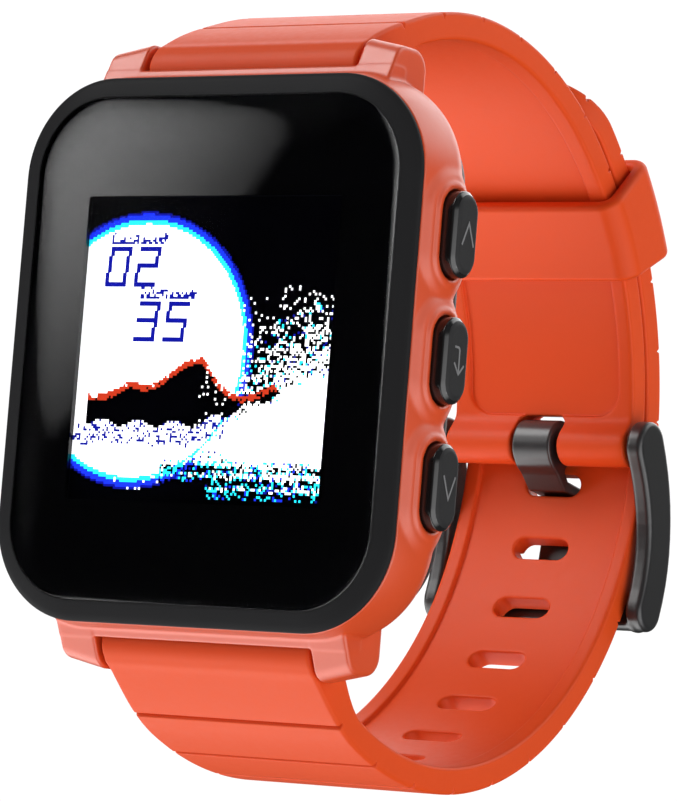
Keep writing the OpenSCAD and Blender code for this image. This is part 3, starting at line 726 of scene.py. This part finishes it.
def button_shape(z, steps=16):
    """A button cap's end centres, directions and radius in (z, h), for swept()."""
    points, normals = [], []
    for sign, first in ((1, -90), (-1, 90)):
        for i in range(steps + 1):
            a = math.radians(first + 180 * i / steps)
            points.append((z + sign * CAP_STRAIGHT, BUTTON_H))
            normals.append((math.cos(a), math.sin(a)))
    return np.array(points), np.array(normals), CAP_R


def stem_shape(z, steps=32):
    """The same for a round stem, where the profile's offset is the whole radius."""
    angles = np.linspace(0, 2 * math.pi, steps, endpoint=False)
    return np.tile((z, BUTTON_H), (steps, 1)), np.column_stack([np.cos(angles), np.sin(angles)]), 0.0


def sideways(side):
    """Button points, (z, h, x), to the row frame, on the right or the left side."""
    return lambda p: np.stack([side * p[:, 2], -p[:, 1], p[:, 0]], 1)


def make_button(name, z, side):
    """A cap with a matt face, and the stem behind it."""
    face_depth = 0.13
    place = sideways(side)
    profile = [(-0.12, CAP_BACK), (0.0, CAP_BACK + 0.1), (0.0, CAP_FACE - 0.52)]
    profile += arc((-0.2, CAP_FACE - 0.5), 0.2, 12, 50, 3)
    profile += [(-0.30, CAP_FACE - 0.16), (-0.46, CAP_FACE - 0.05), (-0.62, CAP_FACE), (-0.72, CAP_FACE)]
    cap = capped_object(name + "_cap", profile, button_shape(z), button_gloss, button_matte, place=place)
    for p in cap.data.polygons:
        if abs(p.center.x) > (CAP_FACE - face_depth) * MM:
            p.material_index = 1
    sharpen(cap, 28)
    profile = [(0.12, STEM_END), (STEM_R - 0.1, STEM_END), (STEM_R, STEM_END + 0.1)]
    profile.append((STEM_R, CAP_BACK + 0.05))
    rod = capped_object(name + "_stem", profile, stem_shape(z), button_gloss, place=place)
    sharpen(rod, 40)
    for piece in (cap, rod):
        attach(piece, name)
    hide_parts(name)


def make_strokes(name, paths, z, width, body):
    """Painted lines on a button face, each a thin raised ribbon with mitred turns. Points are (y, z)."""
    points, faces = [], []
    low, high = CAP_FACE - 0.01, CAP_FACE + 0.02
    sharpest = 0.35
    for path in paths:
        path = np.array(path, float)
        step = np.diff(path, axis=0)
        step /= np.linalg.norm(step, axis=1)[:, None]
        before, after = np.vstack([step[:1], step]), np.vstack([step, step[-1:]])
        mid = before + after
        mid /= np.linalg.norm(mid, axis=1)[:, None]
        normal = np.column_stack([-mid[:, 1], mid[:, 0]])
        reach = width / 2 / np.maximum((mid * after).sum(1), sharpest)
        first = len(points)
        for p, n, r in zip(path, normal, reach):
            for side, level in ((-1, low), (1, low), (1, high), (-1, high)):
                q = p + side * r * n
                points.append((level, -BUTTON_H + q[0], z + q[1]))
        for i in range(len(path) - 1):
            a, b = first + 4 * i, first + 4 * i + 4
            faces += [(a + k, a + (k + 1) % 4, b + (k + 1) % 4, b + k) for k in range(4)]
        last = first + 4 * (len(path) - 1)
        faces.append(tuple(first + k for k in (3, 2, 1, 0)))
        faces.append(tuple(last + k for k in range(4)))
    icon = make_object(name, points, faces, icon_paint)
    icon.data.polygons.foreach_set("use_smooth", [False] * len(icon.data.polygons))
    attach(icon, body)


def make_buttons():
    for name, z in zip(("up_button", "enter_button", "down_button"), BUTTON_ZS):
        make_button(name, z, 1)
    make_button("light_button", LIGHT_Z, -1)
    up_z, enter_z, down_z = BUTTON_ZS
    wide, tall, line = 0.8, 0.85, 0.17
    make_strokes("up_icon", [[(-wide, -tall), (0, tall), (wide, -tall)]], up_z, line, "up_button")
    make_strokes("down_icon", [[(-wide, tall), (0, -tall), (wide, tall)]], down_z, line, "down_button")
    bend = [(-0.62, 1.02), (-0.15, 1.0), (-0.02, 0.94), (0.05, 0.8), (0.06, -0.85)]
    head = [(-0.6, -0.18), (0.06, -1.0), (0.74, -0.3)]
    make_strokes("enter_icon", [bend, head], enter_z, line, "enter_button")


# ---- strap ----


def half_width(y):
    """The strap narrows evenly from the watch to the buckle."""
    t = np.clip((y - WIDE_Y) / (NARROW_Y - WIDE_Y), 0, 1)
    return WIDE + t * (NARROW - WIDE)


def lay(centre, mid, angle, x, n):
    """Flat strap points laid on an arc of radius mid, in the row frame."""
    return np.stack([x, centre[0] + (mid + n) * np.cos(angle), centre[1] + (mid + n) * np.sin(angle)], -1)


def flat_spot(point, centre, mid, zero):
    """Where a side-view point lies in the flat strap: (s, n)."""
    away = np.array(point) - centre
    return mid * (math.atan2(away[1], away[0]) % (2 * math.pi) - zero), np.hypot(*away) - mid


def to_nearest(s, first):
    """Signed distance to the nearest of the places a hole pitch apart, one of them at first."""
    return (s - first + HOLE_PITCH / 2) % HOLE_PITCH - HOLE_PITCH / 2


def groove_cut(away, n):
    """A V across the outer face, at each place where away is zero."""
    k = GROOVE_DEPTH / GROOVE_REACH
    return (k * np.abs(away) - (n - (HALF_T - GROOVE_DEPTH))) / math.hypot(k, 1)


def root_growth(away):
    """How far the strap has thickened towards its spring bar: 0 along the strap, 1 at the bar."""
    t = np.clip(1 - away / ROOT_LENGTH, 0, 1)
    return t * t * (3 - 2 * t)


def panel_cut(s, x, n, s0, s1):
    """The shallow panel sunk in the inner face, from s0 to s1."""
    plan = rounded_rect(x, s - (s0 + s1) / 2, PANEL_HW, (s1 - s0) / 2, PANEL_R)
    return both(plan, n - (PANEL_DEPTH - HALF_T), 0.12)


strap_x_fine = [(9.3, 0.7, 0.14), (PANEL_HW, 0.45, 0.12), (2.4, 0.8, 0.16)]
strap_n = np.concatenate([np.arange(-4.3, -1.5, 0.22), np.arange(-1.45, 2.0, 0.11)])

# The upper half starts at the buckle bar, s = 0, and has a groove on its bend line
upper_zero = math.radians(-2)
upper_bar_s, upper_bar_n = flat_spot((BAR_Y, BAR_Z), CENTRE_A, UPPER_MID, upper_zero)
pin_n = flat_spot(PIN, CENTRE_A, UPPER_MID, upper_zero)[1]
bend_s = UPPER_MID * (math.radians(80) - upper_zero)
BUCKLE_EYE_R = 1.75
NOTCH_HW, NOTCH_HL, NOTCH_R = 2.3, 2.85, 0.8


def upper_distance(s, x, n):
    y = CENTRE_A[0] + UPPER_MID * np.cos(upper_zero + s / UPPER_MID)
    from_bar = np.hypot(s - upper_bar_s, n - upper_bar_n)
    from_pin = np.hypot(s, n - pin_n)
    grow = root_growth(upper_bar_s - s)
    section = both(np.abs(n - grow * upper_bar_n) - HALF_T - grow * ROOT_MORE, s - upper_bar_s, END_R)
    section = both(section, -s, END_R)
    section = either(section, from_bar - EYE_R, 0.3)
    section = either(section, from_pin - BUCKLE_EYE_R, 1.0)
    body = both(section, np.abs(x) - half_width(y), SIDE_R)
    groove = groove_cut(to_nearest(s, bend_s), n - grow * (ROOT_MORE + upper_bar_n))
    groove = both(groove, 18.0 - s, 0.05)
    body = less(body, both(groove, s - upper_bar_s + 3.0, 0.05), 0.06)
    body = less(body, panel_cut(s, x, n, 2.6, upper_bar_s - 4.5), 0.2)
    # The opening where the tongue goes round the bar
    body = less(body, rounded_rect(x, s + 0.3, NOTCH_HW, NOTCH_HL, NOTCH_R), 0.2)
    body = less(body, from_bar - 0.84, 0.05)
    return less(body, from_pin - 0.77, 0.05)


def make_upper_strap():
    dense = [(bend_s + i * HOLE_PITCH, 0.36, 0.055) for i in range(-4, 4)]
    dense += [(upper_bar_s, 2.4, 0.2), (0.3, 3.6, 0.2)]
    along = grid_line(-2.4, upper_bar_s + 2.6, 0.4, *dense)
    across = both_sides(grid_line(0, 10.2, 0.39, *strap_x_fine))
    place = lambda p: lay(CENTRE_A, UPPER_MID, upper_zero + p[:, 0] / UPPER_MID, p[:, 1], p[:, 2])
    strap = solid("upper_strap", upper_distance, (along, across, strap_n), silicone, place)
    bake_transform(strap)
    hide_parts("strap_upper", "strap_upper_root")


# The lower half's tail, s > 0, is on the outer arc, and the rest on an arc of its own
tail_s = TAIL_MID * (math.radians(61) - JOIN)
lower_bar_s = LOWER_MID * (math.atan2(-BAR_Z - CENTRE_B[1], BAR_Y - CENTRE_B[0]) - JOIN)
lower_bar_n = np.hypot(BAR_Y - CENTRE_B[0], -BAR_Z - CENTRE_B[1]) - LOWER_MID
hole_places = [FIRST_HOLE + i * HOLE_PITCH for i in range(-6, 3)]
TAIL_ROUND = 6.0


def lower_y(s):
    angle = JOIN + s / np.where(s > 0, TAIL_MID, LOWER_MID)
    return np.where(s > 0, CENTRE_A[0], CENTRE_B[0]) + np.where(s > 0, TAIL_MID, LOWER_MID) * np.cos(angle)


def lower_distance(s, x, n):
    width = half_width(lower_y(s))
    from_bar = np.hypot(s - lower_bar_s, n - lower_bar_n)
    grow = root_growth(s - lower_bar_s)
    section = both(np.abs(n - grow * lower_bar_n) - HALF_T - grow * ROOT_MORE, lower_bar_s - s, END_R)
    section = either(section, from_bar - EYE_R, 0.3)
    plan = both(np.abs(x) - width, s - tail_s, TAIL_ROUND)
    body = both(section, plan, SIDE_R)
    away = to_nearest(s, FIRST_HOLE)
    groove = groove_cut(away, n - grow * (ROOT_MORE + lower_bar_n))
    body = less(body, both(groove, lower_bar_s + 5.0 - s, 0.05), 0.06)
    body = less(body, panel_cut(s, x, n, lower_bar_s + 5.5, tail_s - 7.0), 0.2)
    # Slots, from the first to the last of their places
    ends = np.maximum(hole_places[0] - 2.9 - s, s - hole_places[-1] - 2.9)
    slots = np.maximum(pill(x, away, SLOT_STRAIGHT, SLOT_R), ends)
    body = less(body, slots, 0.16)
    return less(body, from_bar - 0.9, 0.05)


def make_lower_strap():
    dense = [(FIRST_HOLE + i * HOLE_PITCH, 0.36, 0.055) for i in range(-10, 7)]
    dense += [(h + side * 0.9, 0.42, 0.14) for h in hole_places for side in (-1, 1)]
    dense += [(lower_bar_s, 2.6, 0.2), (tail_s - 3, 3.2, 0.25)]
    along = grid_line(lower_bar_s - 2.6, tail_s + 0.8, 0.4, *dense)
    across = both_sides(grid_line(0, 10.2, 0.39, *strap_x_fine))

    def place(p):
        s = p[:, 0]
        mid = np.where(s > 0, TAIL_MID, LOWER_MID)
        centre = np.where((s > 0)[:, None], CENTRE_A, CENTRE_B).T
        return lay(centre, mid, JOIN + s / mid, p[:, 1], p[:, 2])

    strap = solid("lower_strap", lower_distance, (along, across, strap_n), silicone, place)
    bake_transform(strap)
    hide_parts("strap_lower", "strap_lower_root")


def make_keeper():
    """A flat loop round both layers of the strap, shaped flat and laid on their arc."""
    keeper_angle = math.radians(35.0)
    room, wall = 0.15, 1.3
    inside = UPPER_MID - HALF_T - room
    outside = TAIL_MID + HALF_T + room
    mid, half_gap, half_band = (inside + outside) / 2, (outside - inside) / 2, 4.0
    inner_hw = 9.17

    def distance(s, x, n):
        outer = rounded_rect(x, n, inner_hw + wall, half_gap + wall, 1.7)
        ring = less(outer, rounded_rect(x, n, inner_hw, half_gap, 0.6), 0.05)
        return both(ring, np.abs(s) - half_band, 0.55)

    lines = (
        both_sides(grid_line(0, 4.6, 0.3, (3.75, 0.5, 0.1))),
        both_sides(grid_line(0, 11.0, 0.35, (9.8, 1.0, 0.12))),
        both_sides(grid_line(0, 4.4, 0.15)),
    )
    place = lambda p: lay(CENTRE_A, mid, keeper_angle + p[:, 0] / mid, p[:, 1], p[:, 2])
    keeper = solid("keeper_loop", distance, lines, silicone, place)
    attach(keeper, "keeper")
    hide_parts("strap_keeper")


# ---- buckle, in the row frame ----


def frame_distance(x, y, z):
    steps = 12
    path = bezier(PIN + [0.0, 0.1], (44.75, -8.6), CROSSBAR, steps)
    radii = np.interp(np.linspace(0, 1, steps), [0, 0.5, 1], [2.1, 1.85, 1.85])
    side = chain(y, z, path, radii)
    ax = np.abs(x)
    arm = both(side, np.abs(ax - (ARM_IN + ARM_OUT) / 2) - (ARM_OUT - ARM_IN) / 2, 0.42)
    bar = np.hypot(y - CROSSBAR[0], z - CROSSBAR[1]) - CROSSBAR_R
    bar = both(bar, ax - ARM_IN - 0.5, 0.1)
    # The crossbar is cut back where the strap passes, and has a seat for the tongue
    strap_side = LOWER_MID + HALF_T + 0.3 - np.hypot(y - CENTRE_B[0], z - CENTRE_B[1])
    bar = both(bar, strap_side, 0.25)
    bar = less(bar, both(ax - 2.55, 43.05 - y, 0.1), 0.15)
    body = either(arm, bar, 0.4)
    bore = both(np.hypot(y - PIN[0], z - PIN[1]) - PIN_HOLE_R, ax - ARM_OUT + ARM_SKIN, 0.02)
    return less(body, bore, 0.04)


def tongue_distance(x, y, z):
    half, half_wide, eye_r = 0.46, 1.85, 2.12
    blade = [tuple(PIN + [-0.5, -1.45]), (42.15, -5.25), (44.5, -5.62), (45.12, -6.35)]
    blade += [tuple(p) for p in bezier((45.14, -6.6), (45.42, -10.8), (43.5, -16.45), 8)]
    from_pin = np.hypot(y - PIN[0], z - PIN[1])
    side = chain(y, z, blade, [half + 0.15] + [half] * (len(blade) - 1))
    side = either(side, from_pin - eye_r, 0.5)
    wide = both(np.abs(x) - half_wide, -16.95 - z, 0.9)
    body = both(side, wide, 0.18)
    return less(body, from_pin - PIN_HOLE_R, 0.06)


def make_buckle():
    across = both_sides(grid_line(0, ARM_OUT + 0.6, 0.29, (10.0, 1.0, 0.13), (2.55, 0.3, 0.12)))
    lines = (across, np.arange(38.0, 46.4, 0.17), np.arange(-18.2, 1.2, 0.17))
    body = solid("buckle_loop", frame_distance, lines, black_metal)
    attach(body, "frame")
    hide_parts("buckle_frame")
    across = both_sides(grid_line(0, 2.7, 0.2, (1.75, 0.3, 0.09)))
    lines = (across, np.arange(38.0, 46.4, 0.13), np.arange(-17.8, 1.2, 0.13))
    tongue = solid("buckle_pin_tongue", tongue_distance, lines, black_metal)
    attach(tongue, "tongue")
    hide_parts("buckle_tongue")


# ---- back cover ----


def make_back():
    """The back cover, with a line round its middle and wells where the screws and contacts sit."""
    screws = [(sx * SCREW_X, sz * SCREW_Z) for sx in (-1, 1) for sz in (-1, 1)]
    contacts = [(x, CONTACT_Z) for x in CONTACT_XS]
    line_depth = 0.14

    def distance(x, z, h):
        plan = rounded_rect(x, z, COVER_HW, COVER_HL, COVER_R)
        slope = (0.5 * (plan + 1.9) - 0.866 * h) - 0.35
        body = both(both(plan, slope, 0.9), -h, 1.2)
        body = both(body, h - BACK_H, 0.06)
        line = np.abs(rounded_rect(x, z, 12.6, 15.2, 4.0)) - line_depth
        body = less(body, both(line, h - line_depth, 0.03), 0.05)
        for cx, cz in screws:
            from_screw = np.hypot(x - cx, z - cz)
            body = less(body, both(from_screw - 1.15, h - 1.0, 0.05), 0.12)
            body = less(body, from_screw - 0.7, 0.05)
        for cx, cz in contacts:
            body = less(body, np.hypot(x - cx, z - cz) - 0.95, 0.1)
        return body

    across = both_sides(grid_line(0, 17.6, 0.29, (12.6, 0.35, 0.08), (SCREW_X, 1.4, 0.15), (3.0, 2.6, 0.2)))
    along = both_sides(grid_line(0, 20.4, 0.29, (SCREW_Z, 1.4, 0.1), (-CONTACT_Z, 1.2, 0.15)))
    high = grid_line(-0.51, 2.5, 0.16, (0.05, 0.25, 0.06))
    cover = solid("back_plate", distance, (across, along, high), back_black, stand_up)
    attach(cover, "case")
    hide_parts("back_cover")


# ---- camera, light and floor ----


def make_camera():
    """Low, from the front right, and rolled a little."""
    place = Vector((208.8, -300.8, -33.72)) * MM
    aim = Vector((8.497, -3.399, -3.03)) * MM
    roll = math.radians(4.56)
    data = bpy.data.cameras.new("camera")
    data.lens = 212.1
    data.clip_start, data.clip_end = 0.01, 50
    camera = bpy.data.objects.new("camera", data)
    camera.location = place
    camera.rotation_mode = "QUATERNION"
    look = (aim - place).to_track_quat("-Z", "Y")
    camera.rotation_quaternion = look @ Matrix.Rotation(roll, 3, "Z").to_quaternion()
    bpy.context.scene.collection.objects.link(camera)
    bpy.context.scene.camera = camera


def area_light(name, place, aim, size, power):
    data = bpy.data.lights.new(name, "AREA")
    data.shape = "RECTANGLE"
    data.size, data.size_y = size
    data.energy = power
    light = bpy.data.objects.new(name, data)
    light.location = place
    direction = Vector(aim) - Vector(place)
    light.rotation_euler = direction.to_track_quat("-Z", "Y").to_euler()
    bpy.context.scene.collection.objects.link(light)


def make_world():
    """A white room: even where it is seen, and a soft studio gradient where it is reflected."""
    world = bpy.data.worlds.new("room")
    bpy.context.scene.world = world
    world.use_nodes = True
    nodes, links = world.node_tree.nodes, world.node_tree.links
    nodes.clear()
    out = nodes.new("ShaderNodeOutputWorld")
    where = nodes.new("ShaderNodeTexCoord")

    def toward(azimuth, elevation, near, far):
        """1 within near degrees of that direction, fading to 0 at far degrees."""
        a, e = math.radians(azimuth), math.radians(elevation)
        aim = (math.sin(a) * math.cos(e), -math.cos(a) * math.cos(e), math.sin(e))
        dot = nodes.new("ShaderNodeVectorMath")
        dot.operation = "DOT_PRODUCT"
        dot.inputs[1].default_value = aim
        links.new(where.outputs["Generated"], dot.inputs[0])
        ramp = nodes.new("ShaderNodeMapRange")
        ramp.interpolation_type = "SMOOTHSTEP"
        ramp.inputs["From Min"].default_value = math.cos(math.radians(far))
        ramp.inputs["From Max"].default_value = math.cos(math.radians(near))
        links.new(dot.outputs["Value"], ramp.inputs["Value"])
        return ramp.outputs["Result"]

    def combine(operation, a, b):
        node = nodes.new("ShaderNodeMath")
        node.operation = operation
        for socket, value in zip(node.inputs, (a, b)):
            if isinstance(value, float):
                socket.default_value = value
            else:
                links.new(value, socket)
        return node.outputs[0]

    # Soft boxes: azimuth, elevation, full within, gone beyond, strength
    boxes = [
        (-50, 44, 5, 24, 6.8),
        (-75, -46, 12, 50, 3.6),
        (72, -28, 15, 52, 2.3),
        (142, 40, 8, 27, 2.4),
        (-160, 26, 12, 42, 2.8),
    ]
    glow = 0.06
    for azimuth, elevation, near, far, strength in boxes:
        glow = combine("ADD", combine("MULTIPLY", toward(azimuth, elevation, near, far), strength), glow)
    dark = combine("SUBTRACT", 1.0, toward(-34, 4, 10, 22))
    lamp = combine("MULTIPLY", toward(-52.7, 16.3, 16.3, 20.0), toward(-52.7, 16.3, 19.15, 19.4))
    lamp = combine("MULTIPLY", lamp, toward(-41, 9, 11, 17))
    glow = combine("ADD", combine("MULTIPLY", glow, dark), combine("MULTIPLY", lamp, 4.2))
    reflected = nodes.new("ShaderNodeBackground")
    reflected.inputs["Color"].default_value = (1, 1, 1, 1)
    links.new(glow, reflected.inputs["Strength"])
    seen = nodes.new("ShaderNodeBackground")
    seen.inputs["Color"].default_value = (1, 1, 1, 1)
    seen.inputs["Strength"].default_value = 1.05
    path = nodes.new("ShaderNodeLightPath")
    mix = nodes.new("ShaderNodeMixShader")
    links.new(path.outputs["Is Camera Ray"], mix.inputs["Fac"])
    links.new(reflected.outputs["Background"], mix.inputs[1])
    links.new(seen.outputs["Background"], mix.inputs[2])
    links.new(mix.outputs["Shader"], out.inputs["Surface"])


def make_floor(height):
    """A pale floor that fades into the white room a little way out."""
    fade_out, room_white = 0.045, 1.05
    bpy.ops.mesh.primitive_circle_add(vertices=96, radius=6.0, fill_type="NGON", location=(0, 0.02, height))
    floor = bpy.context.object
    floor.name = "floor"
    mat = bpy.data.materials.new("floor_white")
    mat.use_nodes = True
    nodes, links = mat.node_tree.nodes, mat.node_tree.links
    shader = nodes["Principled BSDF"]
    shader.inputs["Base Color"].default_value = (0.85, 0.85, 0.85, 1)
    shader.inputs["Roughness"].default_value = 0.75
    where = nodes.new("ShaderNodeTexCoord")
    length = nodes.new("ShaderNodeVectorMath")
    length.operation = "LENGTH"
    links.new(where.outputs["Object"], length.inputs[0])
    fade = nodes.new("ShaderNodeMapRange")
    fade.interpolation_type = "SMOOTHSTEP"
    fade.inputs["From Min"].default_value = 0.0
    fade.inputs["From Max"].default_value = fade_out
    links.new(length.outputs["Value"], fade.inputs["Value"])
    glow = nodes.new("ShaderNodeEmission")
    glow.inputs["Strength"].default_value = room_white
    path = nodes.new("ShaderNodeLightPath")
    seen = nodes.new("ShaderNodeMath")
    seen.operation = "MULTIPLY"
    links.new(fade.outputs["Result"], seen.inputs[0])
    links.new(path.outputs["Is Camera Ray"], seen.inputs[1])
    mix = nodes.new("ShaderNodeMixShader")
    links.new(seen.outputs["Value"], mix.inputs["Fac"])
    links.new(shader.outputs["BSDF"], mix.inputs[1])
    links.new(glow.outputs["Emission"], mix.inputs[2])
    links.new(mix.outputs["Shader"], nodes["Material Output"].inputs["Surface"])
    floor.data.materials.append(mat)
    # The floor throws no light back up on the watch
    for kind in ("diffuse", "glossy", "transmission"):
        setattr(floor, "visible_" + kind, False)


def make_lights():
    aim = (0, 0.01, 0)
    area_light("top", (0.06, 0.03, 0.45), aim, (0.40, 0.40), 0.12)
    area_light("right", (0.45, 0.05, -0.02), aim, (0.10, 0.60), 0.3)


# The camera is lower than the strap, so the floor lies well under both
FLOOR_GAP = 0.012

make_camera()
make_world()
make_lights()
make_floor(cad_low.z - FLOOR_GAP)
make_case()
make_bezel()
make_lens()
make_mask()
make_screen()
make_buttons()
make_upper_strap()
make_lower_strap()
make_keeper()
make_buckle()
make_back()
bpy.context.scene.view_settings.view_transform = "Standard"
